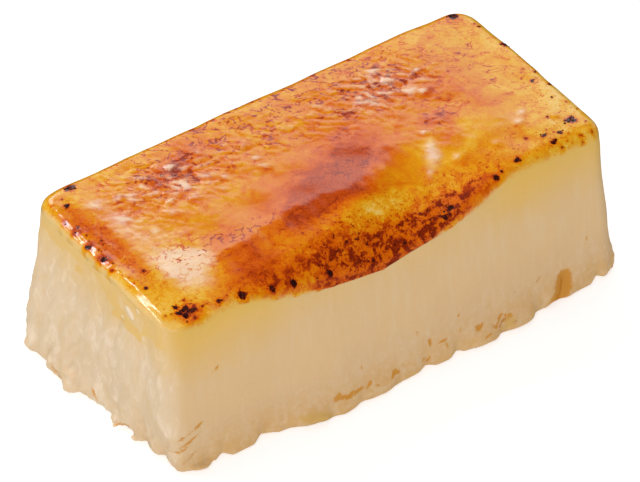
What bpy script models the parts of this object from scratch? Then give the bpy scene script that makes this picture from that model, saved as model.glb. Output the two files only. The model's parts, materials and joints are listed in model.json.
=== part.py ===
"""A frozen crema catalana bar: one block of baked custard with a torched caramel top.

The bar was baked in a small tapered tin, frozen and turned out upside down, so it is narrower at the
caramel than at its foot. It lies along X, its long front wall faces -Y, its torn end faces -X, and
its flat foot is on Z = 0.
"""

import math

import bmesh
import bpy
from mathutils import Matrix, Vector, noise

MM = 0.001

# The block: the sizes of its foot and of its top, as the tin's taper leaves them
FOOT_LENGTH = 96.6 * MM
FOOT_WIDTH = 45.6 * MM
TOP_LENGTH = 92.4 * MM
TOP_WIDTH = 41.8 * MM
HEIGHT = 33.6 * MM
TOP_ROUND = 2.0 * MM

# Its upright corners, counter-clockwise from the front left: sign in x, sign in y, radius
CORNERS = (
    (-1, -1, 3.2 * MM),
    (1, -1, 3.2 * MM),
    (1, 1, 4.6 * MM),
    (-1, 1, 3.8 * MM),
)

# The front shoulder, where the caramel side has sagged towards the middle of the front wall
SHOULDER_X = -2.0 * MM
SHOULDER_SPREAD = 20.0 * MM
SHOULDER_POWER = 2.4
SHOULDER_DROP = 7.8 * MM
SHOULDER_ROUND = 0.9 * MM
SHOULDER_LEFT_RUN = 6.5 * MM
SHOULDER_RIGHT_RUN = 16.5 * MM
SHOULDER_RUN_WIDENS = (-12 * MM, 18 * MM)
SHOULDER_CURVE = 1.5
EDGE_SAG = 0.5 * MM
FAR_END_SAGS = (30 * MM, 46 * MM)
TOP_RIPPLE = 0.28 * MM
TOP_RIPPLE_LENGTH = 9.0 * MM
TOP_RIPPLE_FINE_LENGTH = 4.0 * MM

# The walls: the long ones belly out, and all of them melt into a lobed hem along the foot
BELLY = 2.0 * MM
BELLY_TOP = 0.85 * HEIGHT
FRONT_BELLY_RISES = (-25 * MM, -12 * MM)
FRONT_BELLY_FALLS = (10 * MM, 44 * MM)
FRONT_BELLY_AT_END = 0.5
BACK_BELLY_SPREAD = 30.0 * MM
HEM_SWELL = 0.8 * MM
HEM_HEIGHT = 3.0 * MM
LOBE_LENGTH = 6.5 * MM
LOBE_NOTCH = 0.16
RIM_LOW = 0.35 * MM
RIM_LIFT = 1.3 * MM
FOOT_INSET = 3.4 * MM
WALL_RIPPLE = 0.22 * MM
WALL_RIPPLE_LENGTH = 7.0 * MM

# The curl under the rim, ring by ring: the share of the inset, and of the rim's height
UNDER_CURL = ((1.0, 0.0), (0.45, 0.30), (0.12, 0.78))

# The torn end: it swells low down towards the back, and is worn away towards the front foot corner
TORN_SWELL = 1.3 * MM
TORN_SWELL_FROM = (-2 * MM, 15 * MM)
TORN_SWELL_MIDDLE = 9.0 * MM
TORN_SWELL_HEIGHT = 11.0 * MM
TORN_WEAR = 2.0 * MM
TORN_WEAR_FROM = (12 * MM, -8 * MM)
TORN_WEAR_HEIGHT = 14.0 * MM
CORNER_WEAR = 2.0 * MM
CORNER_WEAR_REACH = 7.0 * MM
CORNER_WEAR_HEIGHT = 10.0 * MM

# Beads of melted custard that swell out of the hem: x, half length and how far they stand out
FRONT_BEADS = (
    (-19.4 * MM, 3.0 * MM, 1.7 * MM),
    (-12.6 * MM, 3.4 * MM, 1.1 * MM),
    (-5.6 * MM, 3.4 * MM, 0.9 * MM),
    (9.0 * MM, 2.6 * MM, 0.4 * MM),
    (17.3 * MM, 3.0 * MM, 1.5 * MM),
    (25.0 * MM, 3.2 * MM, 1.6 * MM),
    (34.4 * MM, 3.2 * MM, 0.9 * MM),
)
BACK_BEADS = (
    (-26.0 * MM, 3.4 * MM, 0.9 * MM),
    (-6.0 * MM, 2.8 * MM, 0.6 * MM),
    (19.0 * MM, 3.8 * MM, 1.1 * MM),
)
BEAD_MIDDLE = 2.0 * MM
BEAD_HEIGHT = 2.2 * MM
BEAD_SQUARENESS = 4

# Grooves torn down the two ends: y, half width, depth and slant per height
TORN_END_GROOVES = (
    (15.5 * MM, 1.7 * MM, 0.45 * MM, 0.05),
    (9.5 * MM, 1.3 * MM, 0.45 * MM, 0.16),
    (5.4 * MM, 1.5 * MM, 1.10 * MM, 0.10),
    (0.5 * MM, 1.6 * MM, 0.60 * MM, 0.20),
    (-4.5 * MM, 1.5 * MM, 0.50 * MM, 0.22),
    (-13.5 * MM, 2.0 * MM, 0.95 * MM, 0.12),
)
CALM_END_GROOVES = (
    (10.0 * MM, 2.6 * MM, 0.40 * MM, -0.10),
    (-6.0 * MM, 2.2 * MM, 0.45 * MM, 0.12),
)

GROOVE_FADES = (0.45 * HEIGHT, 0.9 * HEIGHT)
GROOVE_FADE = 0.75

# Soft lumps low on the calm end: y, z, spread and how far they stand out
CALM_END_LUMPS = (
    (-17.8 * MM, 6.4 * MM, 2.4 * MM, 0.9 * MM),
    (-16.2 * MM, 2.2 * MM, 2.4 * MM, 0.8 * MM),
    (3.5 * MM, 3.4 * MM, 3.2 * MM, 0.7 * MM),
)

# How finely the block is divided
LONG_STEPS = 56
SHORT_STEPS = 19
CORNER_STEPS = 5
WALL_LEVELS = 17
ROUND_LEVELS = 4
LEVEL_CROWDING = 1.15

# Crumbs and flakes that stick out along the foot, in millimetres: place, half sizes, turn about Z
CRUMBS = (
    ("crumb_left", (-47.9, 7.4, 2.8), (2.0, 2.0, 2.5), 10),
    ("crumb_left_low", (-49.0, 6.3, 1.7), (1.5, 1.6, 1.4), 40),
    ("flake_left", (-46.6, -4.8, 0.9), (2.4, 1.2, 0.6), 35),
    ("flake_left_front", (-45.8, -10.8, 0.9), (2.2, 1.1, 0.6), -25),
    ("flap_corner", (-42.2, -21.6, 1.2), (3.2, 2.0, 1.1), -32),
)
CRUMB_OVER_FLOOR = 0.25 * MM
CRUMB_ROUGHNESS = 0.16

CUSTARD_COLOUR = (0.72, 0.50, 0.25, 1.0)
CARAMEL_COLOUR = (0.62, 0.21, 0.02, 1.0)
CARAMEL_LOWEST = 0.6 * HEIGHT
CARAMEL_LEAST_UP = 0.45
SHARP_ANGLE = math.radians(50)


def mix(low, high, share):
    return low + (high - low) * share


def bell(distance, spread, power=2.0):
    """1 at the middle, falling smoothly to 0 past the spread."""
    return math.exp(-((abs(distance) / spread) ** power))


def smooth_step(low, high, value):
    share = min(1.0, max(0.0, (value - low) / (high - low)))
    return share * share * (3 - 2 * share)


def waves(x, y, z, size, seed):
    """Soft random waves between about -1 and 1, a given number of metres long."""
    return noise.noise(Vector((x / size + seed, y / size - seed, z / size + 0.37 * seed)))


def half_sizes(z):
    """Half the block's length and width at a height, from the tin's taper."""
    share = z / HEIGHT
    return mix(FOOT_LENGTH, TOP_LENGTH, share) / 2, mix(FOOT_WIDTH, TOP_WIDTH, share) / 2


def corner_centre(corner, z):
    """The middle of an upright corner's round, at a height."""
    sign_x, sign_y, radius = corner
    half_length, half_width = half_sizes(z)
    return Vector((sign_x * (half_length - radius), sign_y * (half_width - radius), z))


class Station:
    """One place on the bar's outline: between two corners, or on a corner's round."""

    def __init__(self, corner, following, share, angle):
        self.corner = corner
        self.following = following
        self.share = share
        self.outward = Vector((math.cos(angle), math.sin(angle), 0))

    def at(self, z):
        """The point of the plain tapered block at this station and at a height."""
        middle = corner_centre(self.corner, z).lerp(corner_centre(self.following, z), self.share)
        return middle + self.outward * mix(self.corner[2], self.following[2], self.share)


def make_stations():
    """The stations round the bar, counter-clockwise from the front left corner."""
    stations = []
    for number, corner in enumerate(CORNERS):
        following = CORNERS[(number + 1) % len(CORNERS)]
        angle = math.pi / 2 * (number - 1)
        steps = SHORT_STEPS if number % 2 else LONG_STEPS
        for step in range(steps):
            stations.append(Station(corner, following, step / steps, angle))
        for step in range(CORNER_STEPS):
            turned = angle + math.pi / 2 * step / CORNER_STEPS
            stations.append(Station(following, following, 0.0, turned))
    return stations


STATIONS = make_stations()


def shoulder(x):
    """How much of the front shoulder's sag there is at a place along the bar, from 0 to 1."""
    return bell(x - SHOULDER_X, SHOULDER_SPREAD, SHOULDER_POWER)


def shoulder_run(x):
    """How far in from the front wall the sag starts: close on the left, far in on the right."""
    return mix(SHOULDER_LEFT_RUN, SHOULDER_RIGHT_RUN, smooth_step(*SHOULDER_RUN_WIDENS, x))


def top_height(x, y):
    """The height of the caramel top over a point, before its edges are rounded."""
    inward = max(0.0, y + TOP_WIDTH / 2 + BELLY / 2)
    fall = max(0.0, 1 - inward / shoulder_run(x)) ** SHOULDER_CURVE
    drop = mix(EDGE_SAG, SHOULDER_DROP, shoulder(x)) * fall
    far_end = EDGE_SAG * smooth_step(*FAR_END_SAGS, x)
    ripple = waves(x, y, 0, TOP_RIPPLE_LENGTH, seed=3.1)
    ripple += waves(x, y, 0, TOP_RIPPLE_FINE_LENGTH, seed=7.7) / 2
    return HEIGHT - drop - far_end + TOP_RIPPLE * ripple


def grooves(y, z, marks):
    """How deep the torn grooves of an end wall are at a point. They deepen towards the foot."""
    depth = 0.0
    for place, half_width, groove_depth, slant in marks:
        across = y - place + slant * (z - HEIGHT / 2)
        depth += groove_depth * bell(across, half_width)
    return depth * (1 - GROOVE_FADE * smooth_step(*GROOVE_FADES, z))


def beads(point):
    """How far the melted beads of the nearer long wall stand out, at a place along it."""
    marks = FRONT_BEADS if point.y < 0 else BACK_BEADS
    return sum(out * bell(point.x - x, half, BEAD_SQUARENESS) for x, half, out in marks)


def lobe(point):
    """1 on a lobe or a bead of the melted hem, 0 in the notch between two lobes."""
    melted = smooth_step(0, LOBE_NOTCH, abs(waves(point.x, point.y, 0, LOBE_LENGTH, seed=11.3)))
    return max(melted, min(1.0, beads(point) / MM))


def lumps(y, z, marks):
    """How far the soft lumps of an end wall stand out at a point."""
    return sum(out * bell(math.hypot(y - py, z - pz), spread) for py, pz, spread, out in marks)


def torn_end(y, z):
    """How far the torn end stands out as a whole: swollen at the back, worn at the front."""
    swell = smooth_step(*TORN_SWELL_FROM, y) * bell(z - TORN_SWELL_MIDDLE, TORN_SWELL_HEIGHT)
    wear = smooth_step(*TORN_WEAR_FROM, y) * (1 - smooth_step(0, TORN_WEAR_HEIGHT, z))
    return TORN_SWELL * swell - TORN_WEAR * wear


def corner_wear(point):
    """How much of the front left foot corner has broken away."""
    corner = Vector((-FOOT_LENGTH / 2, -FOOT_WIDTH / 2, 0))
    reach = (Vector((point.x, point.y, 0)) - corner).length
    return CORNER_WEAR * bell(reach, CORNER_WEAR_REACH) * (1 - smooth_step(0, CORNER_WEAR_HEIGHT, point.z))


def wall_relief(point, outward):
    """How far the wall stands out from the plain taper at a point."""
    x, y, z = point
    relief = WALL_RIPPLE * waves(x, y, z, WALL_RIPPLE_LENGTH, seed=1.9)
    if outward.y < 0:
        risen = smooth_step(*FRONT_BELLY_RISES, x)
        bellied = mix(risen, FRONT_BELLY_AT_END, smooth_step(*FRONT_BELLY_FALLS, x))
    else:
        bellied = bell(x, BACK_BELLY_SPREAD)
    low = 1 - smooth_step(0, BELLY_TOP, z)
    bead = beads(point) * bell(z - BEAD_MIDDLE, BEAD_HEIGHT)
    relief += abs(outward.y) * (BELLY * bellied * low + bead)
    if outward.x < 0:
        relief += outward.x * (grooves(y, z, TORN_END_GROOVES) - torn_end(y, z))
    else:
        relief += outward.x * (lumps(y, z, CALM_END_LUMPS) - grooves(y, z, CALM_END_GROOVES))
    hem = HEM_SWELL * lobe(point) * bell(z - 0.6 * HEM_HEIGHT, HEM_HEIGHT)
    return relief + hem - corner_wear(point)


def rim_height(point):
    """How far the melted hem is off the floor: low under each lobe, higher in the notches."""
    return RIM_LOW + RIM_LIFT * (1 - lobe(point))


def edge_round(x, outward):
    """The radius of the top edge: tight along the sagged shoulder, wider elsewhere."""
    return mix(TOP_ROUND, SHOULDER_ROUND, max(0.0, -outward.y) * shoulder(x))


def wall_rings():
    """The rings of points up the wall, from the rim to where the top edge starts to round."""
    rings = [[] for _ in range(WALL_LEVELS + 1)]
    for station in STATIONS:
        rim = rim_height(station.at(0))
        top = station.at(HEIGHT)
        end = top_height(top.x, top.y) - edge_round(top.x, station.outward)
        for level, ring in enumerate(rings):
            share = (level / WALL_LEVELS) ** LEVEL_CROWDING
            point = station.at(mix(rim, end, share))
            ring.append(point + station.outward * wall_relief(point, station.outward))
    return rings


def round_rings(last_wall_ring):
    """The rings that turn the top edge over, from the wall's last ring to the flat of the top."""
    rings = []
    for level in range(1, ROUND_LEVELS + 1):
        angle = math.pi / 2 * level / ROUND_LEVELS
        ring = []
        for station, start in zip(STATIONS, last_wall_ring):
            radius = edge_round(station.at(HEIGHT).x, station.outward)
            point = start - station.outward * radius * (1 - math.cos(angle))
            point.z += (top_height(point.x, point.y) - start.z) * math.sin(angle)
            ring.append(point)
        rings.append(ring)
    return rings


def under_rings(rim):
    """The rings that curl in under the rim to the flat foot."""
    rings = []
    for inset_share, height_share in UNDER_CURL:
        ring = []
        for station, edge in zip(STATIONS, rim):
            point = edge - station.outward * inset_share * FOOT_INSET
            point.z = edge.z * height_share
            ring.append(point)
        rings.append(ring)
    return rings


def stitch(shape, lower, upper):
    """Joins two rings of the same number of points by a band of faces that face outwards."""
    count = len(lower)
    for i in range(count):
        j = (i + 1) % count
        shape.faces.new((lower[i], lower[j], upper[j], upper[i]))


def cap_top(shape, ring):
    """Closes the top inside its last ring: a grid in the middle, a strip along each side and a fan
    at each corner."""
    front_left, front_right, back_right, back_left = [corner_centre(c, HEIGHT) for c in CORNERS]
    grid = []
    for row in range(SHORT_STEPS + 1):
        left = front_left.lerp(back_left, row / SHORT_STEPS)
        right = front_right.lerp(back_right, row / SHORT_STEPS)
        line = []
        for column in range(LONG_STEPS + 1):
            point = left.lerp(right, column / LONG_STEPS)
            point.z = top_height(point.x, point.y)
            line.append(shape.verts.new(point))
        grid.append(line)
    for lower, upper in zip(grid, grid[1:]):
        for i in range(LONG_STEPS):
            shape.faces.new((lower[i], lower[i + 1], upper[i + 1], upper[i]))

    front, back = grid[0], grid[-1][::-1]
    right, left = [line[-1] for line in grid], [line[0] for line in grid][::-1]
    start = 0
    for side in (front, right, back, left):
        steps = len(side) - 1
        for i in range(steps):
            shape.faces.new((ring[start + i], ring[start + i + 1], side[i + 1], side[i]))
        start += steps
        for i in range(CORNER_STEPS):
            shape.faces.new((ring[start + i], ring[(start + i + 1) % len(ring)], side[-1]))
        start += CORNER_STEPS


def make_block():
    """The bar itself, as one closed mesh."""
    wall = wall_rings()
    rings = under_rings(wall[0]) + wall + round_rings(wall[-1])
    shape = bmesh.new()
    loops = [[shape.verts.new(point) for point in ring] for ring in rings]
    for lower, upper in zip(loops, loops[1:]):
        stitch(shape, lower, upper)
    shape.faces.new(loops[0][::-1])
    cap_top(shape, loops[-1])
    mesh = bpy.data.meshes.new("catalana_bar")
    shape.to_mesh(mesh)
    shape.free()
    bar = bpy.data.objects.new("catalana_bar", mesh)
    bpy.context.scene.collection.objects.link(bar)
    return bar


def make_crumb(name, place, sizes, turn, collection):
    """One uneven crumb or flake that sticks out of the foot."""
    shape = bmesh.new()
    bmesh.ops.create_icosphere(shape, subdivisions=2, radius=MM)
    for vert in shape.verts:
        vert.co *= 1 + CRUMB_ROUGHNESS * noise.noise(vert.co / MM + Vector(place))
    scale = Matrix.Diagonal(Vector(sizes)).to_4x4()
    spin = Matrix.Rotation(math.radians(turn), 4, "Z")
    move = Matrix.Translation(Vector(place) * MM)
    bmesh.ops.transform(shape, matrix=move @ spin @ scale, verts=shape.verts)
    for vert in shape.verts:
        vert.co.z = max(vert.co.z, CRUMB_OVER_FLOOR)
    mesh = bpy.data.meshes.new(name)
    shape.to_mesh(mesh)
    shape.free()
    collection.objects.link(bpy.data.objects.new(name, mesh))


def fuse_crumbs(bar):
    """Joins every crumb and flake to the bar, and removes the loose copies."""
    crumbs = bpy.data.collections.new("crumbs")
    bpy.context.scene.collection.children.link(crumbs)
    for name, place, sizes, turn in CRUMBS:
        make_crumb(name, place, sizes, turn, crumbs)
    fuse = bar.modifiers.new("fuse_crumbs", "BOOLEAN")
    fuse.operation = "UNION"
    fuse.operand_type = "COLLECTION"
    fuse.collection = crumbs
    fuse.solver = "MANIFOLD"
    bpy.context.view_layer.objects.active = bar
    bpy.ops.object.modifier_apply(modifier=fuse.name)
    for crumb in list(crumbs.objects):
        bpy.data.objects.remove(crumb)
    bpy.data.collections.remove(crumbs)


def centre_on_foot(bar):
    """Moves the mesh so that the middle of the bar's box stands over the origin."""
    points = [vert.co for vert in bar.data.vertices]
    middle = [(min(p[axis] for p in points) + max(p[axis] for p in points)) / 2 for axis in (0, 1)]
    bar.data.transform(Matrix.Translation((-middle[0], -middle[1], 0)))


def food_material(name, colour, roughness, coat):
    material = bpy.data.materials.new(name)
    material.use_nodes = True
    shader = material.node_tree.nodes["Principled BSDF"]
    shader.inputs["Base Color"].default_value = colour
    shader.inputs["Roughness"].default_value = roughness
    shader.inputs["Metallic"].default_value = 0.0
    shader.inputs["Coat Weight"].default_value = coat
    material.diffuse_color = colour
    return material


def finish(bar):
    """Custard all over, and caramel on the faces of the top."""
    bar.data.materials.clear()
    bar.data.materials.append(food_material("custard", CUSTARD_COLOUR, 0.45, 0.1))
    bar.data.materials.append(food_material("caramel", CARAMEL_COLOUR, 0.2, 0.8))
    for face in bar.data.polygons:
        on_top = face.normal.z > CARAMEL_LEAST_UP and face.center.z > CARAMEL_LOWEST
        face.material_index = 1 if on_top else 0
    bar.data.shade_smooth()
    bar.data.set_sharp_from_angle(angle=SHARP_ANGLE)


def main():
    for obj in list(bpy.data.objects):
        bpy.data.objects.remove(obj)
    bar = make_block()
    fuse_crumbs(bar)
    centre_on_foot(bar)
    finish(bar)


main()
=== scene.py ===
import json
import math

import bpy
import numpy as np
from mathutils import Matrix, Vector, noise

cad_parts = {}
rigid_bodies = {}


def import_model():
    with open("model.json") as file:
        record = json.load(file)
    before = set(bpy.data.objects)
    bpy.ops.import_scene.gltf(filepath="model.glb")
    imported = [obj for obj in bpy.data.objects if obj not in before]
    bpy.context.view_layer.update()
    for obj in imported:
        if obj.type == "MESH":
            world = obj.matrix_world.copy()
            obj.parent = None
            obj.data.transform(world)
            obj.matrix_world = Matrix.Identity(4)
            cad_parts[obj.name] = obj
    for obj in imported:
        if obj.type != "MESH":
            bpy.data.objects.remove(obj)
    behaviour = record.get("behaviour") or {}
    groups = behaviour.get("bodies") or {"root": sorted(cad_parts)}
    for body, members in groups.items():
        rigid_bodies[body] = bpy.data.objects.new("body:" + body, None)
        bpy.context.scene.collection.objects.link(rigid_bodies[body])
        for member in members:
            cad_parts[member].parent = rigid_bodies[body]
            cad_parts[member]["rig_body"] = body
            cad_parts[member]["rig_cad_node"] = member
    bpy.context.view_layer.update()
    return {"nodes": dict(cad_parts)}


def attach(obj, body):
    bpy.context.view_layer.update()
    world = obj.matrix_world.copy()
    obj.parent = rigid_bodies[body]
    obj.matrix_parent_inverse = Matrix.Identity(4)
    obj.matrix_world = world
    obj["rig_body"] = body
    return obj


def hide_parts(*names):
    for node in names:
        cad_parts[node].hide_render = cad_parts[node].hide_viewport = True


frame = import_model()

# --- The table and the lights ---
# The bar stands on a pale matt board. A broad soft panel behind it lays the pale sheen on the flat of the
# caramel, small bright ones pick out the sugar blisters and the wet rim, and wide ones light the walls.
MM = 0.001
TABLE_HALF = 6.0
TABLE_DROP = 0.05 * MM
TABLE_WHITE = (0.55, 0.55, 0.55, 1)
TABLE_GLOW = 0.60
STUDIO_WHITE = (1.0, 1.0, 1.0, 1)
STUDIO_FILL = 0.17
PANELS = (
    # name, direction from the bar, distance, width, height, brightness, whether it shows in the gloss
    ("sheen_panel", (0.522, 0.644, 0.559), 0.90, 0.60, 0.40, 1.42, True),
    ("blister_panel", (0.150, 0.853, 0.500), 0.95, 0.26, 0.20, 6.0, True),
    ("edge_panel", (-0.150, 0.523, 0.839), 0.95, 0.18, 0.12, 24.0, True),
    ("overhead_panel", (0.10, 0.05, 0.99), 0.95, 0.50, 0.50, 2.3, False),
    ("torn_end_panel", (-0.66, 0.56, 0.48), 0.90, 0.20, 0.20, 11.2, False),
    ("glint_panel", (-0.900, 0.300, 0.230), 0.90, 0.11, 0.11, 14.0, True),
    ("long_wall_panel", (-0.35, -0.90, 0.30), 1.10, 0.90, 0.40, 1.08, True),
    ("right_end_panel", (0.93, 0.20, 0.20), 1.10, 0.60, 0.36, 1.0, True),
    ("shoulder_panel", (-0.40, -0.50, 0.77), 0.95, 0.50, 0.50, 4.1, True),
)

bpy.ops.object.select_all(action="DESELECT")
bpy.ops.mesh.primitive_plane_add(size=2 * TABLE_HALF, location=(0, 0, -TABLE_DROP))
table = bpy.context.object
table.name = table.data.name = "table"
table.visible_glossy = False

board = bpy.data.materials.new("pale_board")
board.use_nodes = True
board_shader = board.node_tree.nodes["Principled BSDF"]
board_shader.inputs["Base Color"].default_value = TABLE_WHITE
board_shader.inputs["Roughness"].default_value = 0.9
board_shader.inputs["Specular IOR Level"].default_value = 0.1
board_shader.inputs["Emission Color"].default_value = STUDIO_WHITE
board_shader.inputs["Emission Strength"].default_value = TABLE_GLOW
table.data.materials.append(board)

studio = bpy.data.worlds.new("studio")
bpy.context.scene.world = studio
studio.use_nodes = True
studio_nodes, studio_links = studio.node_tree.nodes, studio.node_tree.links
dim, bright = studio_nodes["Background"], studio_nodes.new("ShaderNodeBackground")
dim.inputs["Color"].default_value, dim.inputs["Strength"].default_value = STUDIO_WHITE, STUDIO_FILL
bright.inputs["Color"].default_value, bright.inputs["Strength"].default_value = STUDIO_WHITE, 1.0
either, seen = studio_nodes.new("ShaderNodeMixShader"), studio_nodes.new("ShaderNodeLightPath")
studio_links.new(seen.outputs["Is Camera Ray"], either.inputs[0])
studio_links.new(dim.outputs[0], either.inputs[1])
studio_links.new(bright.outputs[0], either.inputs[2])
studio_links.new(either.outputs[0], studio_nodes["World Output"].inputs["Surface"])
studio.cycles_visibility.glossy = False

for name, direction, distance, width, height, brightness, in_gloss in PANELS:
    panel = bpy.data.lights.new(name, "AREA")
    panel.shape, panel.size, panel.size_y = "ELLIPSE", width, height
    panel.energy = brightness * math.pi * width * height
    stand = bpy.data.objects.new(name, panel)
    bpy.context.scene.collection.objects.link(stand)
    toward = Vector(direction).normalized()
    stand.location = toward * distance
    stand.rotation_mode = "QUATERNION"
    stand.rotation_quaternion = toward.to_track_quat("Z", "Y")
    stand.visible_camera = False
    stand.visible_glossy = in_gloss

# The camera looks down on the bar from its left front corner, through a long lens.
TURN, HEIGHT = math.radians(-35.5), math.radians(41.4)
PICTURE_WIDE, PICTURE_HIGH = 640, 482
LENS_PIXELS = 5000.0
PIXELS_PER_METRE = 5624.0
BAR_ACROSS, BAR_DOWN = 321.1, 304.7

camera = bpy.data.objects.new("camera", bpy.data.cameras.new("camera"))
bpy.context.scene.collection.objects.link(camera)
bpy.context.scene.camera = camera
back = Vector((math.sin(TURN) * math.cos(HEIGHT), -math.cos(TURN) * math.cos(HEIGHT), math.sin(HEIGHT)))
right = Vector((math.cos(TURN), math.sin(TURN), 0))
up = back.cross(right)
camera.data.sensor_width = 36
camera.data.lens = LENS_PIXELS * camera.data.sensor_width / PICTURE_WIDE
camera.location = (
    back * (LENS_PIXELS / PIXELS_PER_METRE)
    + up * ((BAR_DOWN - PICTURE_HIGH / 2) / PIXELS_PER_METRE)
    - right * ((BAR_ACROSS - PICTURE_WIDE / 2) / PIXELS_PER_METRE)
)
camera.rotation_mode = "QUATERNION"
camera.rotation_quaternion = back.to_track_quat("Z", "Y")
camera.data.clip_start, camera.data.clip_end = 0.01, 30
bpy.context.scene.view_settings.view_transform = "Standard"

# --- The custard block ---
# The bar itself: set egg custard, frozen and turned out of its tin. It is smooth and a little streaked down
# the long walls, torn at the left end and melted and crumbly along its foot.
CUSTARD_MESH = 0.5 * MM
MELT_ROUNDS = 3
UNDER_CARAMEL = 1.0 * MM

# The lower edge of the browning, along the long front wall: how far along, and how high above the foot.
BROWN_EDGE = (
    (-46, 31.6), (-43.6, 32.1), (-39.2, 31.2), (-36.1, 32.2), (-31.0, 31.9), (-24.9, 29.6), (-18.8, 27.6),
    (-12.6, 26.1), (-6.4, 25.3), (-2.1, 24.6), (3.2, 25.5), (8.6, 26.1), (14.0, 27.2), (19.4, 28.8),
    (23.8, 31.0), (27.1, 31.7), (31.4, 31.6), (36.9, 31.3), (41.4, 31.1), (45.8, 30.8),
)
# Round the other sides the browning ends nearly level. The caramel reaches a little below that edge, less so
# at the torn end, and has a crisp lip along the middle of the front.
FRONT_STARTS, FRONT_FULL = 2.0, 8.0
SIDE_EDGE, SIDE_WAVE = 31.4, 0.5
SKIN_REACH, RIM_REACH, RIM = 1.9, 0.8, (43, 46)
LIP_STARTS, LIP_ENDS = (-20, -13), (6, 14)
FAINTEST = 0.002


def knead(piece, kind, **settings):
    """Adds one modifier to a piece and applies it."""
    bpy.ops.object.select_all(action="DESELECT")
    piece.select_set(True)
    bpy.context.view_layer.objects.active = piece
    step = piece.modifiers.new(kind.lower(), kind)
    for setting, value in settings.items():
        setattr(step, setting, value)
    bpy.ops.object.modifier_apply(modifier=step.name)


def skin_points(piece):
    """Every point of a piece's surface and the direction that it faces."""
    count = len(piece.data.vertices)
    points, facing = np.empty(count * 3, np.float32), np.empty(count * 3, np.float32)
    piece.data.vertices.foreach_get("co", points)
    piece.data.vertex_normals.foreach_get("vector", facing)
    return points.reshape(-1, 3).astype(float), facing.reshape(-1, 3).astype(float)


def set_points(piece, points):
    """Moves every point of a piece to its new place."""
    piece.data.vertices.foreach_set("co", points.astype(np.float32).ravel())
    piece.data.update()


def ease(amounts, low, high):
    """0 at low, 1 at high and an even curve between them."""
    share = np.clip((amounts - low) / (high - low), 0, 1)
    return share * share * (3 - 2 * share)


def choose(piece, name, amounts):
    """A vertex group with that weight at each point."""
    group = piece.vertex_groups.get(name) or piece.vertex_groups.new(name=name)
    for at, amount in enumerate(np.clip(amounts, 0, 1)):
        if amount > FAINTEST:
            group.add((at,), float(amount), "REPLACE")


def stain(piece, name, amounts):
    """A value at each point of a piece, for its material to read."""
    layer = piece.data.attributes.get(name) or piece.data.attributes.new(name, "FLOAT", "POINT")
    layer.data.foreach_set("value", np.clip(amounts, 0, 1).astype(np.float32))


def patches(first, second, places):
    """The sum of soft oval patches, where first and second are the two directions that are in view.

    Each patch has its middle, half length and half width in mm, its turn in degrees and its amount.
    """
    total = np.zeros(len(first))
    for at_first, at_second, length, width, turn, amount in places:
        cosine, sine = math.cos(math.radians(turn)), math.sin(math.radians(turn))
        lengthwise = ((first - at_first) * cosine + (second - at_second) * sine) / length
        sideways = ((second - at_second) * cosine - (first - at_first) * sine) / width
        total += amount * np.exp(-(lengthwise ** 2) - sideways ** 2)
    return total


def above_brown_edge(points):
    """How far a point is above the lower edge of the browning, in mm."""
    x, y, z = (points / MM).T
    front = np.interp(x, [p[0] for p in BROWN_EDGE], [p[1] for p in BROWN_EDGE])
    sides = SIDE_EDGE + SIDE_WAVE * np.sin(x * 0.41 + y * 0.53) * np.sin(x * 0.17 - y * 0.29 + 1.1)
    return z - (sides + (front - sides) * ease(-y, FRONT_STARTS, FRONT_FULL))


def crisp_edge(points):
    """1 where the caramel ends in a crisp lip, along the middle of the front, and 0 where it fades out."""
    x, y, _ = (points / MM).T
    return ease(-y, FRONT_STARTS, FRONT_FULL) * ease(x, *LIP_STARTS) * (1 - ease(x, *LIP_ENDS))


def skin_reach(points):
    """How far the caramel runs down below the lower edge of the browning, in mm: less at the torn end."""
    return SKIN_REACH - (SKIN_REACH - RIM_REACH) * ease(-points[:, 0] / MM, *RIM)


bpy.ops.object.select_all(action="DESELECT")
solid = frame["nodes"]["catalana_bar"]
solid.select_set(True)
bpy.context.view_layer.objects.active = solid
bpy.ops.object.duplicate()
custard = bpy.context.object
custard.name = custard.data.name = "custard_block"
custard.parent = None
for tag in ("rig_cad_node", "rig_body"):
    del custard[tag]
custard.data.materials.clear()
bpy.ops.object.mode_set(mode="EDIT")
bpy.ops.mesh.select_all(action="SELECT")
bpy.ops.mesh.remove_doubles(threshold=0.001 * MM)
bpy.ops.object.mode_set(mode="OBJECT")
knead(custard, "REMESH", mode="VOXEL", voxel_size=CUSTARD_MESH, use_smooth_shade=True)
knead(custard, "SMOOTH", factor=0.5, iterations=MELT_ROUNDS)

# The top sank where the torch softened it: at the front left corner, along the left edge, and in front of a
# fold that ends the flat. The fold is seen from above: along the bar, and across it, in mm.
SLUMPS = (
    (-46, -21, 11, 9, 0, -1.0), (-47, 8, 5, 14, 0, -0.5), (-36, -13, 7, 6, 0, -0.25),
    (-8, -16, 9, 3.4, 0, -0.20),
)
FOLD = (
    (-34, -12.5), (-31, -10.6), (-26, -10.6), (-20, -9.7), (-14, -8.8), (-8, -8.2), (-4, -9.0), (0, -9.4),
    (4, -8.2), (8, -6.2), (10.5, -3.6), (14, -4.5), (20, -7.0), (28, -8.0), (36, -9.0),
)
FOLD_STARTS, FOLD_ENDS = (-34, -26), (6, 20)
FOLD_WAVES = ((0.35, 0.9, 0.0), (0.22, 2.3, 1.0))
CREST_HEIGHT, CREST_BACK, CREST_WIDTH = 0.12, 1.0, 1.1
FOLD_DROP = 0.60
FLAT_TOP = (0.4, 0.9)

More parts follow.
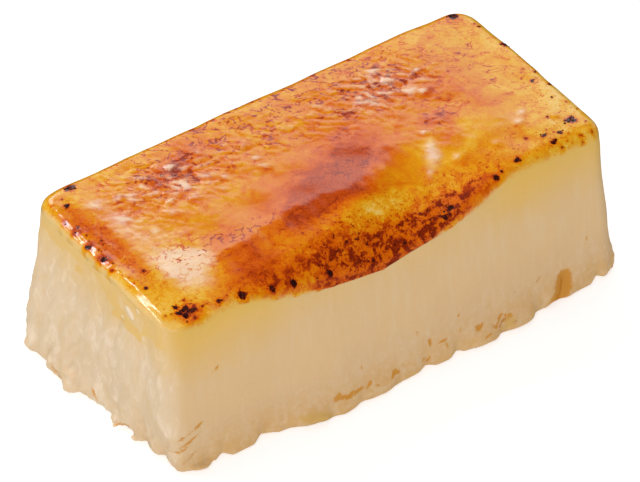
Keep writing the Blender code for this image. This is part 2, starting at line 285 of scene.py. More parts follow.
points, facing = skin_points(custard)
x, y, z = (points / MM).T
before_fold = np.interp(x, [p[0] for p in FOLD], [p[1] for p in FOLD]) - y
for size, tightness, start in FOLD_WAVES:
    before_fold += size * np.sin(tightness * x + start)
folded = ease(x, *FOLD_STARTS) * (1 - ease(x, *FOLD_ENDS))
crest = CREST_HEIGHT * np.exp(-(((before_fold + CREST_BACK) / CREST_WIDTH) ** 2))
sunk = patches(x, y, SLUMPS) + folded * crest
sunk -= folded * FOLD_DROP * ease(before_fold, -0.8, 5.4) * (1 - ease(before_fold, 7, 14))
set_points(custard, points + facing * (MM * sunk * ease(facing[:, 2], *FLAT_TOP))[:, None])

# A smooth copy is kept for the caramel, which lies on the same block.
bpy.ops.object.select_all(action="DESELECT")
custard.select_set(True)
bpy.ops.object.duplicate()
caramel = bpy.context.object
caramel.name = caramel.data.name = "caramel_skin"

# How much each place is torn, melted, sagged or wet, and where it sinks to make room for the caramel.
TORN_END, TORN_FACE, TORN_TOP = (43.5, 46.5), (0.2, 0.7), 30.5
FOOT_TOP, WALL_TOP, OFF_TABLE = 9.0, 29.3, (0.3, 1.2)
FRONT_WALL = (17, 19.5)

points, facing = skin_points(custard)
x, y, z = (points / MM).T
over, reach, crisp = above_brown_edge(points), skin_reach(points), crisp_edge(points)
raised = ease(z, *OFF_TABLE)
choose(custard, "torn", ease(-x, *TORN_END) * ease(-facing[:, 0], *TORN_FACE) * ease(TORN_TOP - z, 0, 6))
choose(custard, "foot", ease(FOOT_TOP - z, 0, 7) * raised * (0.25 + 0.75 * ease(abs(x), 40, 45)))
choose(custard, "walls", ease(WALL_TOP - z, 0, 3) * raised * ease(-over - reach * (1 - crisp), 0.3, 3.0))
under_fringe = 0.07 * (1 - crisp) * ease(over + reach, 0.1, 1.8)
choose(custard, "hidden", np.maximum(ease(over, 0.4, 2.4), under_fringe))

# Wet places on the torn end, seen from the left, and on the long wall, seen from the front.
wet_end = patches(y, z, (
    (4.2, 7.6, 3, 1.6, -20, 0.8), (-4.0, 13.0, 1.6, 2.4, 20, 0.9), (-6.6, 13.4, 1.6, 1.2, 0, 0.7),
    (-2.8, 5.0, 2.2, 1.2, 0, 0.8), (2.7, 11.7, 2.0, 1.2, 0, 0.6), (-9.0, 11.0, 1.4, 1.8, 0, 0.6),
    (8.0, 4.0, 4.0, 2.4, 0, 1.0), (-15, 2.5, 4.0, 2.0, 0, 1.0), (-20, 4.0, 3.0, 3.0, 0, 0.8),
    (-11, 3, 3.0, 1.6, 0, 0.7), (13, 5, 5, 2, 0, 0.4), (-7.0, 24.0, 1.2, 3.0, 0, 0.4),
)) * ease(-x, 43.5, 46)
wet_wall = patches(x, z, (
    (-44, 3.0, 3.4, 2.4, 0, 1.0), (-43, 9.0, 3.4, 1.4, 27, 0.6), (23.6, 4.2, 1.6, 1.4, 0, 1.0),
    (20, 2.6, 3.0, 1.4, 0, 0.5), (34.0, 3.0, 2.4, 2.4, 45, 0.4), (4.5, 3.0, 6.0, 1.2, 0, 0.35),
)) * ease(-y, *FRONT_WALL)
choose(custard, "wet", (wet_end + wet_wall) * ease(TORN_TOP - z, 0, 3))

TORN_RELIEF, FOOT_RELIEF, WET_RELIEF, WALL_RELIEF = 1.1 * MM, 0.8 * MM, 0.55 * MM, 0.3 * MM
TEAR_TURN, TEAR_SIZE = math.radians(24), (3 * MM, 1.7 * MM, 10 * MM)


def clouds(name, size, depth):
    """Soft random relief with lumps of that size."""
    relief = bpy.data.textures.new(name, "CLOUDS")
    relief.noise_scale, relief.noise_depth = size, depth
    return relief


def emboss(piece, relief, chosen, strength, middle=0.5):
    """Raises and lowers a vertex group of a piece by soft relief."""
    knead(piece, "DISPLACE", texture=relief, texture_coords="LOCAL", vertex_group=chosen,
          strength=strength, mid_level=middle)


# The ridges of the torn end run along one slanting direction.
tear_direction = bpy.data.objects.new("tear_direction", None)
bpy.context.scene.collection.objects.link(tear_direction)
tear_direction.rotation_euler = (TEAR_TURN, 0, 0)
tear_direction.scale = TEAR_SIZE
bpy.context.view_layer.update()
knead(custard, "DISPLACE", texture=clouds("torn_ridges", 1.0, 2), texture_coords="OBJECT",
      texture_coords_object=tear_direction, vertex_group="torn", strength=TORN_RELIEF, mid_level=0.5)
bpy.data.objects.remove(tear_direction)
emboss(custard, clouds("foot_crumb", 1.5 * MM, 2), "foot", FOOT_RELIEF, 0.45)
emboss(custard, clouds("wet_tear", 1.1 * MM, 1), "wet", WET_RELIEF)
emboss(custard, clouds("wall_sag", 11 * MM, 1), "walls", WALL_RELIEF)
knead(custard, "DISPLACE", vertex_group="hidden", strength=-UNDER_CARAMEL, mid_level=0.0)

# Small pits and folds of the melted foot, which the syrup stained amber, and a chipped hollow near the
# right end. Those of the long wall are seen from the front, and the flakes of the torn end from the left.
PITS = (
    # along, height, half length, half width, turn, depth
    (-14.5, 3.9, 0.7, 0.4, 20, 0.9), (-12.8, 3.9, 0.9, 0.35, -20, 0.8), (-10.4, 3.5, 1.0, 0.35, 10, 0.8),
    (-8.0, 3.3, 0.8, 0.4, 40, 0.8), (-1.8, 3.5, 0.9, 0.4, -30, 0.9), (4.5, 2.9, 0.8, 0.5, 30, 0.8),
    (6.2, 5.7, 0.35, 0.9, 10, 0.8), (4.1, 8.5, 0.3, 0.8, 0, 0.6), (9.6, 9.0, 0.3, 1.0, -15, 0.7),
    (-8.2, 7.1, 0.3, 0.8, 20, 0.5), (16.0, 4.5, 0.9, 0.4, 35, 0.8), (19.3, 3.5, 1.0, 0.4, -20, 0.9),
    (22.3, 3.2, 0.9, 0.6, 20, 1.0), (20.2, 2.1, 0.8, 0.4, 0, 0.8), (21.4, 1.2, 1.2, 0.3, 10, 0.8),
    (25.4, 6.9, 0.4, 0.4, 0, 0.6), (14.6, 2.8, 0.5, 0.5, 0, 0.6), (34.8, 2.4, 0.9, 1.6, -18, 0.8),
    (36.3, 4.6, 0.9, 1.2, -25, 0.8), (38.6, 8.8, 0.25, 1.0, -15, 0.6), (-43.0, 9.2, 3.4, 0.45, 27, 0.6),
    (-44.6, 6.6, 1.4, 0.4, 30, 0.5), (-42.6, 4.4, 1.8, 0.35, 15, 0.6), (42.5, 7.0, 0.4, 1.4, 20, 0.5),
    (-37.7, 19.8, 0.6, 0.5, 0, 0.7), (-39.6, 21.9, 0.3, 0.3, 0, 0.5), (-10.9, 22.0, 0.4, 0.7, 10, 0.35),
    (-13.6, 14.3, 0.3, 0.7, 0, 0.35), (30.7, 7.0, 0.7, 0.25, 35, 0.9),
)
CHIP = ((34.2, 0.8, 2.1, 3.0, -24, 1.2), (36.2, 4.4, 1.5, 1.8, -24, 1.2))
BEADS = (
    # along, height, half length, half height, turn, how clear and amber
    (-19.6, 2.4, 2.6, 1.0, -10, 1.0), (-16.6, 1.2, 1.6, 0.8, -30, 0.9), (-13.2, 0.6, 1.8, 0.5, 0, 0.8),
    (22.4, 2.6, 1.8, 1.0, 30, 0.8), (19.4, 1.0, 1.6, 0.5, 0, 0.6), (14.8, 2.4, 1.2, 0.7, 20, 0.5),
    (9.4, 3.8, 0.6, 1.0, 20, 0.5), (-4.5, 1.0, 1.6, 0.5, 0, 0.5), (2.0, 1.2, 1.6, 0.5, 0, 0.5),
    (-27.5, 1.2, 1.6, 0.6, 0, 0.5), (27.4, 1.4, 2.0, 0.6, 20, 0.5),
)
FLAKES = (
    # across, height, half width, half height, turn, how far it stands out
    (-9.1, 29.1, 1.3, 0.7, 20, 0.40), (-6.8, 26.4, 0.7, 0.5, 40, 0.22), (-11.4, 31.0, 0.8, 0.4, 20, 0.22),
    (11.0, 17.0, 0.7, 1.6, 10, 0.10), (2.0, 20.0, 0.5, 1.8, 8, 0.08), (-3.8, 13.2, 0.8, 1.6, 15, 0.12),
    (-6.6, 13.2, 0.7, 1.2, -10, 0.10), (4.3, 7.6, 1.4, 0.7, 20, 0.12), (-2.8, 5.2, 1.2, 0.7, 10, 0.10),
    (2.7, 11.7, 0.8, 0.8, 0, 0.10), (-12, 14.5, 0.5, 1.6, 15, 0.08),
)
SQUIGGLES = (
    # along, height, half length, half width, turn, how amber
    (-13.9, 4.2, 0.9, 0.25, 50, 1.0), (-13.0, 3.6, 1.1, 0.22, -15, 1.0), (-11.6, 3.7, 0.9, 0.22, 25, 1.0),
    (-9.6, 3.6, 1.2, 0.22, 5, 0.9), (-7.2, 3.9, 0.5, 0.3, 60, 0.9), (-6.0, 3.0, 0.7, 0.22, -20, 0.8),
    (-2.6, 3.2, 0.8, 0.25, 40, 1.0), (-1.6, 3.4, 0.9, 0.25, -40, 1.0), (0.0, 4.0, 0.22, 0.7, 10, 0.9),
    (5.4, 2.4, 0.8, 0.25, 40, 1.0), (6.2, 5.6, 0.25, 0.9, 15, 1.0), (8.6, 4.9, 1.2, 0.25, 5, 0.8),
    (9.2, 3.9, 0.25, 0.8, 10, 0.8), (3.6, 8.6, 0.2, 0.7, 5, 0.7), (-8.4, 7.3, 0.2, 0.7, 15, 0.6),
    (12.6, 8.0, 0.2, 0.9, -20, 0.7), (12.9, 5.3, 0.3, 0.3, 0, 0.8), (16.6, 4.3, 1.0, 0.25, 35, 0.9),
    (17.4, 2.6, 1.1, 0.25, 15, 0.9), (20.8, 4.0, 0.9, 0.3, 40, 1.0), (22.6, 4.0, 1.0, 0.25, -20, 1.0),
    (28.2, 3.4, 1.0, 0.25, 20, 0.5), (41.6, 10.2, 0.22, 1.1, -15, 0.8), (-39.8, 12.0, 0.25, 0.25, 0, 0.6),
    (-44.6, 5.6, 1.8, 0.35, 35, 0.7), (-42.6, 7.6, 1.8, 0.28, 27, 0.7), (-41.0, 10.0, 1.4, 0.28, 30, 0.6),
    (-43.6, 3.2, 1.6, 0.3, 30, 0.6), (-44.8, 8.6, 1.2, 0.25, 40, 0.5), (-36.8, 20.6, 0.4, 0.35, 0, 0.9),
)
TORN_SYRUP = ((2.0, 3.0, 1.6, 0.5, 60, 0.6), (-6.5, 1.4, 2.4, 0.5, -20, 0.5), (11, 1.8, 3.0, 0.7, 10, 0.5))
PIT_DEPTH, CHIP_DEPTH, BEAD_HEIGHT = 0.22, 0.60, 0.35

points, facing = skin_points(custard)
x, y, z = (points / MM).T
in_front = ease(-y, *FRONT_WALL)
pitted = patches(x, z, PITS) * in_front
squiggly = patches(x, z, SQUIGGLES) * in_front
beaded = patches(x, z, BEADS) * in_front
flaked = patches(y, z, FLAKES) * ease(-x, 43.5, 45.5)
chipped = np.clip(patches(x, z, CHIP) * in_front, 0, 1)
carved = PIT_DEPTH * pitted + CHIP_DEPTH * chipped - BEAD_HEIGHT * beaded - flaked
set_points(custard, points - facing * (MM * carved)[:, None])
points, _ = skin_points(custard)
points[:, 2] = np.maximum(points[:, 2], 0)
set_points(custard, points)

torn_syrup = patches(y, z, TORN_SYRUP) * ease(-x, 44, 46)
stain(custard, "syrup", pitted * 0.6 + squiggly + chipped + torn_syrup)
stain(custard, "wet_shine", wet_end + wet_wall + beaded + 1.5 * flaked)
stain(custard, "beaded", beaded)
stain(custard, "flaked", 3.2 * flaked)
# Dark brown spots, most of them in the pits, between the beads and along the left edge of the chip.
stain(custard, "dark_spots", in_front * patches(x, z, (
    (33.9, 1.0, 0.45, 1.8, -28, 1.0), (35.5, 4.0, 0.35, 1.6, -28, 0.9), (35.6, 1.6, 0.6, 1.6, -24, 0.42),
    (21.6, 3.4, 0.9, 0.3, 20, 1.0), (20.6, 2.7, 0.3, 0.7, 20, 0.8), (23.6, 2.6, 0.8, 0.3, -10, 0.9),
    (30.7, 7.0, 0.8, 0.22, 35, 1.0), (-17.6, 2.4, 0.3, 0.3, 0, 1.0), (24.7, 0.9, 0.9, 0.3, 0, 0.8),
    (25.5, 6.8, 0.4, 0.4, 0, 0.6), (-10.9, 23.0, 0.25, 0.4, 0, 0.6),
)))


def feed(recipe, node, feeds):
    """Sets a node's inputs, each from another node or to a number of its own."""
    for socket, value in feeds.items():
        if isinstance(value, bpy.types.NodeSocket):
            recipe.links.new(value, node.inputs[socket])
        else:
            node.inputs[socket].default_value = value


def stir(recipe, kind, feeds, **settings):
    """Adds one node to a material, with its settings and what feeds it, and gives its output."""
    node = recipe.nodes.new("ShaderNode" + kind)
    for setting, value in settings.items():
        setattr(node, setting, value)
    feed(recipe, node, feeds)
    return next(out for out in node.outputs if out.enabled)


def reckon(recipe, how, first, second=0.0, third=0.0):
    """A sum, a product or the like."""
    return stir(recipe, "Math", {0: first, 1: second, 2: third}, operation=how)


def times(recipe, first, second):
    """One value times another."""
    return reckon(recipe, "MULTIPLY", first, second)


def deepen(recipe, value, pattern, amount):
    """The value with that amount of a pattern on top."""
    return reckon(recipe, "MULTIPLY_ADD", pattern, amount, value)


def sway(recipe, value, pattern, amount):
    """The value, pushed up and down by a pattern."""
    return deepen(recipe, value, reckon(recipe, "SUBTRACT", pattern, 0.5), amount)


def rise(recipe, value, low, high, start=0.0, end=1.0):
    """Goes evenly from start to end as value goes from low to high."""
    return stir(recipe, "MapRange", {"Value": value, 1: low, 2: high, 3: start, 4: end},
                interpolation_type="SMOOTHSTEP")


def tint(recipe, first, second, share):
    """The first colour with that share of the second."""
    return stir(recipe, "Mix", {0: share, 6: first, 7: second}, data_type="RGBA")


def mottle(recipe, where, size_mm, detail=2.0, rough=0.5, stretch=(1, 1, 1), turn=(0, 0, 0), warp=0.0):
    """Soft noise whose clumps are about size_mm across."""
    place = stir(recipe, "Mapping", {
        "Vector": where, "Scale": [size_mm * MM / s for s in stretch],
        "Rotation": [math.radians(t) for t in turn],
    }, vector_type="TEXTURE")
    return stir(recipe, "TexNoise", {
        "Vector": place, "Scale": 1.0, "Detail": detail, "Roughness": rough, "Distortion": warp,
    })


def worn(recipe, name):
    """The value that a piece keeps at each of its points, such as how wet it is."""
    return stir(recipe, "Attribute", {}, attribute_name=name).node.outputs["Fac"]


def crinkle(recipe, pattern, strength, depth):
    """A fine relief that only the light sees."""
    return stir(recipe, "Bump", {"Strength": strength, "Distance": depth, "Height": pattern})


def paste(name):
    """A new material, its node tree, its shader and the place of each point in the object."""
    material = bpy.data.materials.new(name)
    material.use_nodes = True
    recipe = material.node_tree
    shader = recipe.nodes["Principled BSDF"]
    where = recipe.nodes.new("ShaderNodeTexCoord").outputs["Object"]
    return material, recipe, shader, where


# The custard's own colour: warm yellow where it is thin and near the caramel, pale beige lower down, paler
# at the torn end, with faint streaks that the tin left.
BEIGE = (0.770, 0.525, 0.268, 1)
PINKISH = (0.740, 0.495, 0.262, 1)
FOOT_TAN = (0.690, 0.405, 0.145, 1)
TORN_CREAM = (0.778, 0.594, 0.392, 1)
TORN_GOLD, TORN_MILK = (0.714, 0.498, 0.223, 1), (0.868, 0.708, 0.529, 1)
YELLOW = (0.800, 0.495, 0.115, 1)
SYRUP = (0.655, 0.285, 0.028, 1)
CLEAR_BEAD = (0.670, 0.415, 0.120, 1)
DARK_SPOT_BROWN = (0.520, 0.175, 0.010, 1)


def custard_colour(recipe, where):
    """The colour of bare custard at any place of the bar."""
    apart = recipe.nodes.new("ShaderNodeSeparateXYZ")
    recipe.links.new(where, apart.inputs[0])
    along, _, height = apart.outputs

    # The walls darken unevenly towards the tan foot.
    soft = mottle(recipe, where, 7, detail=3)
    lower = rise(recipe, sway(recipe, height, soft, 14 * MM), 16 * MM, 5 * MM)
    colour = tint(recipe, BEIGE, PINKISH, lower)
    patchy = mottle(recipe, where, 2.6, detail=4, rough=0.6, warp=0.6)
    lowest = rise(recipe, sway(recipe, height, patchy, 10 * MM), 8.5 * MM, 0.5 * MM, 0, 0.75)
    colour = tint(recipe, colour, FOOT_TAN, lowest)

    # The tin left faint upright streaks, and the foot has pale flecks.
    streak = mottle(recipe, where, 1.6, detail=2, stretch=(1, 1, 0.12))
    colour = tint(recipe, colour, TORN_CREAM, rise(recipe, streak, 0.42, 0.75, 0, 0.28))
    flecks = rise(recipe, mottle(recipe, where, 1.1, detail=3, rough=0.65, warp=0.5), 0.48, 0.70, 0, 0.40)
    colour = tint(recipe, colour, TORN_CREAM, times(recipe, flecks, rise(recipe, height, 13 * MM, 6 * MM)))

    # The torn end is creamy, with golden and milky ribs.
    torn = rise(recipe, along, -43 * MM, -47 * MM)
    colour = tint(recipe, colour, TORN_CREAM, torn)
    ribs = mottle(recipe, where, 2.4, detail=4, rough=0.62, stretch=(1, 1, 0.5), turn=(7, 0, 0), warp=0.7)
    colour = tint(recipe, colour, TORN_GOLD, times(recipe, torn, rise(recipe, ribs, 0.50, 0.70, 0, 0.45)))
    colour = tint(recipe, colour, TORN_MILK, times(recipe, torn, rise(recipe, ribs, 0.48, 0.34, 0, 0.75)))

    # It is yellow near the caramel, most of all away from the middle, and in sharp shards on the torn end.
    wander = mottle(recipe, where, 9, detail=2, warp=0.4)
    near_caramel = rise(recipe, sway(recipe, height, wander, 7 * MM), 17 * MM, 32 * MM)
    off_middle = reckon(recipe, "ABSOLUTE", reckon(recipe, "ADD", along, 1 * MM))
    off_middle = rise(recipe, rise(recipe, off_middle, 16 * MM, 30 * MM), 0, 1, 0.45, 1.0)
    yellow = times(recipe, near_caramel, off_middle)
    yellow = times(recipe, yellow, rise(recipe, torn, 0, 1, 1, 0.55))
    shards = recipe.nodes.new("ShaderNodeTexVoronoi")
    feed(recipe, shards, {"Vector": where, "Scale": 150})
    shard = stir(recipe, "SeparateColor", {0: shards.outputs["Color"]})
    sharp = rise(recipe, deepen(recipe, height, shard, 6 * MM), 30.2 * MM, 30.7 * MM)
    yellow = reckon(recipe, "MAXIMUM", yellow, times(recipe, times(recipe, sharp, torn), 0.85))
    return tint(recipe, colour, YELLOW, yellow)


set_custard, recipe, shader, where = paste("set_custard")
colour = custard_colour(recipe, where)
ragged = mottle(recipe, where, 0.9, detail=3, rough=0.6, warp=0.8)
syrup = rise(recipe, sway(recipe, worn(recipe, "syrup"), ragged, 0.9), 0.20, 0.60, 0, 0.92)
colour = tint(recipe, colour, SYRUP, syrup)
# The dark brown spots of the foot.
colour = tint(recipe, colour, DARK_SPOT_BROWN, rise(recipe, worn(recipe, "dark_spots"), 0.25, 0.75, 0, 0.8))
colour = tint(recipe, colour, CLEAR_BEAD, rise(recipe, worn(recipe, "beaded"), 0.15, 0.75, 0, 0.85))
colour = tint(recipe, colour, TORN_MILK, rise(recipe, worn(recipe, "flaked"), 0.30, 0.50, 0, 0.85))
fine = mottle(recipe, where, 0.8, detail=5, rough=0.65)
feed(recipe, shader, {
    "Base Color": colour,
    "Roughness": rise(recipe, worn(recipe, "wet_shine"), 0.1, 0.7, 0.48, 0.34),
    "IOR": 1.33,
    "Subsurface Weight": 0.5,
    "Subsurface Radius": (1.0, 0.95, 0.88),
    "Subsurface Scale": 0.35 * MM,
    "Coat Weight": 0.1,
    "Coat Roughness": 0.2,
    "Normal": crinkle(recipe, fine, 0.35, 0.25 * MM),
})
custard.data.materials.append(set_custard)
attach(custard, "root")
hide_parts("catalana_bar")

# --- The caramel ---
# The torched sugar top: a thin glossy skin from pale gold to near black, blistered, and ending along the
# shoulder of the front wall in a fine amber lip. Round the other edges it fades into the custard.
LIP = 0.16 * MM
TUCK, TUCK_SOFT = 0.40 * MM, 0.035 * MM
RIM_ROUNDS = 3
CLOSED_AT, CLOSED_SIZE = 20 * MM, (0.94, 0.88, 0)

bpy.ops.object.select_all(action="DESELECT")
caramel.select_set(True)
bpy.context.view_layer.objects.active = caramel
points, facing = skin_points(caramel)
over = above_brown_edge(points)
bpy.ops.object.mode_set(mode="EDIT")
bpy.ops.mesh.select_mode(type="VERT")
bpy.ops.mesh.select_all(action="DESELECT")
bpy.ops.object.mode_set(mode="OBJECT")
caramel.data.vertices.foreach_set("select", (over < -skin_reach(points)) | (facing[:, 2] < -0.2))
bpy.ops.object.mode_set(mode="EDIT")
bpy.ops.mesh.delete(type="VERT")
for _ in range(RIM_ROUNDS):
    # Faces that hang on by one corner come off, so that the rim is one clean loop.
    bpy.ops.mesh.select_non_manifold(use_boundary=False, use_non_contiguous=False)
    bpy.ops.mesh.delete(type="VERT")
bpy.ops.object.mode_set(mode="OBJECT")
knead(caramel, "SUBSURF", levels=1, render_levels=1)

points, facing = skin_points(caramel)
over, reach, crisp = above_brown_edge(points), skin_reach(points), crisp_edge(points)
x, y, z = (points / MM).T
height = LIP * crisp * ease(over, -0.9 + 0.65 * crisp, 1.5 - 1.15 * crisp)
tuck_starts, tuck_ends = (reach - 1.2) * (1 - crisp), (reach - 0.1) * (1 - crisp) + 0.6 * crisp
height -= (TUCK_SOFT + (TUCK - TUCK_SOFT) * crisp) * ease(-over, tuck_starts, tuck_ends)

# It swells a little along the left edge, dips to the rim and ends there in small wet lumps, which are seen
# from the left.
LEFT_SWELL = ((-39.6, 4, 1.8, 12, 2, 0.20), (-43.2, 4, 1.9, 13, 2, -0.18))
WET_LUMPS = (
    (17, 32.6, 1.6, 1.0, 0, 0.20), (12.6, 32.7, 2.2, 0.9, 0, 0.24), (8.4, 32.6, 1.4, 0.9, 0, 0.20),
    (4.6, 32.7, 1.8, 1.0, 0, 0.24), (0.8, 32.6, 1.3, 0.9, 0, 0.18), (-4.4, 32.2, 2.6, 0.7, 0, 0.18),
    (-9.6, 32.0, 2.8, 0.7, 0, 0.20), (-14, 31.6, 1.6, 0.7, 0, 0.16),
)
height += MM * patches(x, y, LEFT_SWELL)
height += MM * ease(-x, 42, 44.5) * patches(y, z, WET_LUMPS)

BLISTERS = (
    # along, across, half length, half width, turn, height
    (-28.6, 14.6, 1.9, 0.8, -35, 0.26), (-34.3, 12.3, 1.3, 0.9, 5, 0.22),
    (-32.5, 11.0, 1.2, 0.9, -60, 0.2), (-39.0, 12.9, 1.8, 1.8, -15, 0.24),
    (-36.5, 7.2, 1.6, 0.8, -45, 0.26), (-27.4, 6.3, 1.1, 0.8, 20, 0.2), (-28.3, 3.5, 1.8, 1.1, -30, 0.2),
    (-22.8, 7.8, 1.0, 0.9, -70, 0.22), (-23.7, 4.7, 1.2, 0.8, 0, 0.2), (-18.2, 3.8, 0.9, 0.7, -50, 0.22),
    (-18.3, 8.3, 1.4, 0.8, -35, 0.2), (-22.6, 13.6, 1.3, 0.9, 5, 0.22), (-16.2, 14.1, 1.0, 0.7, -60, 0.2),
    (-8.9, 7.2, 1.0, 0.8, -15, 0.24), (-8.9, 4.8, 1.5, 0.9, -45, 0.24), (-11.5, 13.3, 1.0, 0.9, 20, 0.2),
    (-8.5, 11.1, 1.1, 0.7, -30, 0.2), (-16.1, 6.3, 1.0, 0.8, -70, 0.22), (21.7, 14.3, 1.6, 1.1, 0, 0.28),
    (21.9, 11.0, 1.3, 1.0, -50, 0.24), (23.3, 6.6, 2.1, 0.8, -35, 0.3), (25.5, 4.9, 1.2, 0.9, 5, 0.24),
    (19.8, 8.1, 1.0, 0.8, -60, 0.2), (15.2, 8.6, 2.6, 1.0, -20, 0.22), (8.0, 12.2, 1.3, 0.7, -45, 0.2),
    (27.6, 10.1, 1.0, 0.8, 20, 0.22), (19.3, -4.1, 1.2, 0.8, -30, 0.22), (17.5, -8.0, 0.9, 2.2, -35, 0.2),
    (14.3, -12.5, 0.8, 1.6, -35, 0.16), (36.6, -9.4, 0.9, 1.3, -50, 0.2),
    (34.5, -11.3, 0.9, 1.1, -35, 0.2), (40.8, -13.2, 0.9, 0.7, -35, 0.14),
    (17.1, -10.2, 0.8, 1.6, -35, 0.2), (20.1, -12.2, 1.0, 0.7, -15, 0.2),
    (27.7, -13.3, 0.9, 0.7, -35, 0.14), (1.2, 10.4, 0.9, 0.8, 20, 0.14),
    (-30.0, -1.5, 3.0, 1.2, -10, 0.10),
)

# Low froth lies between the blisters, drawn out along the path of the torch.
FROTH_FIELDS = (
    (-26, 10, 12, 8, 0, 1.0), (19, 10, 13, 7.5, 0, 1.0), (-4, 11, 12, 6, 0, 0.4), (-34, 0, 6, 5, 0, 0.4),
)
RIGHT_OF_FOLD = (22, -3, 6, 3, 0)
TORCH_PATH, FROTH_LONG, FROTH_SHORT = math.radians(-35), 2.5, 1.6
FROTH_BEND, FROTH_FINE, FROTH_FINER, FROTH_FULL = 0.35, 0.4, 2.3, 0.55
BLISTER_SHARE, FROTH_RISE, FROTH_LEVEL = 0.85, 0.21, 0.4
PUFFED_BY_FOLD, BROWNED_BY_FOLD = 0.4, 0.5
ON_TOP = (0.5, 0.9)


def froth(x, y):
    """Puffs of sugar froth, drawn out along the torch's path: 0 in the creases between them, 1 on top."""
    lengthwise = (x * math.cos(TORCH_PATH) + y * math.sin(TORCH_PATH)) / FROTH_LONG
    sideways = (y * math.cos(TORCH_PATH) - x * math.sin(TORCH_PATH)) / FROTH_SHORT
    puffs = []
    for long, wide in zip(lengthwise, sideways):
        bend = FROTH_BEND * noise.noise((wide, long, 7))
        fine = abs(noise.noise((FROTH_FINER * long, FROTH_FINER * wide, 4)))
        puffs.append(abs(noise.noise((long + bend, wide, 0))) + FROTH_FINE * fine)
    return np.clip(np.array(puffs) / FROTH_FULL, 0, 1)


def frothed(x, y, right_of_fold):
    """How much froth lies at each place, with that much of it at the right of the fold."""
    return np.clip(patches(x, y, (*FROTH_FIELDS, (*RIGHT_OF_FOLD, right_of_fold))), 0, 1)


on_top = ease(facing[:, 2], *ON_TOP)
height += BLISTER_SHARE * MM * patches(x, y, BLISTERS) * on_top
height += FROTH_RISE * MM * (froth(x, y) - FROTH_LEVEL) * frothed(x, y, PUFFED_BY_FOLD) * on_top
set_points(caramel, points + facing * height[:, None])

# The froth is lumpy all through, and the whole skin flows in low swells.
LUMPY = (
    (-26, 9, 14, 8, 0, 1.0), (20, 9, 14, 7, 0, 1.0), (-4, 10, 12, 7, 0, 0.5), (20, -9, 9, 5, 0, 0.7),
    (-33, -9, 7, 4, 0, 0.6),
)
LUMP_RELIEF, FLOW_RELIEF = 0.30 * MM, 0.24 * MM
choose(caramel, "lumpy", (patches(x, y, LUMPY) + 0.9 * ease(-x, 42.5, 44.5)) * ease(over, 0.5, 2))
choose(caramel, "all_over", ease(over, 0.3, 1.5))
emboss(caramel, clouds("sugar_lumps", 1.9 * MM, 1), "lumpy", LUMP_RELIEF, 0.4)
emboss(caramel, clouds("sugar_flow", 7 * MM, 1), "all_over", FLOW_RELIEF, 0.4)

# The skin is closed underneath, inside the custard.
bpy.ops.object.mode_set(mode="EDIT")
bpy.ops.mesh.select_all(action="DESELECT")
bpy.ops.mesh.select_non_manifold()
bpy.ops.mesh.extrude_edges_move()
bpy.ops.transform.resize(value=CLOSED_SIZE, center_override=(0, 0, CLOSED_AT))
bpy.ops.mesh.edge_face_add()
bpy.ops.mesh.select_all(action="SELECT")
bpy.ops.mesh.normals_make_consistent(inside=False)
bpy.ops.object.mode_set(mode="OBJECT")
bpy.ops.object.shade_smooth()

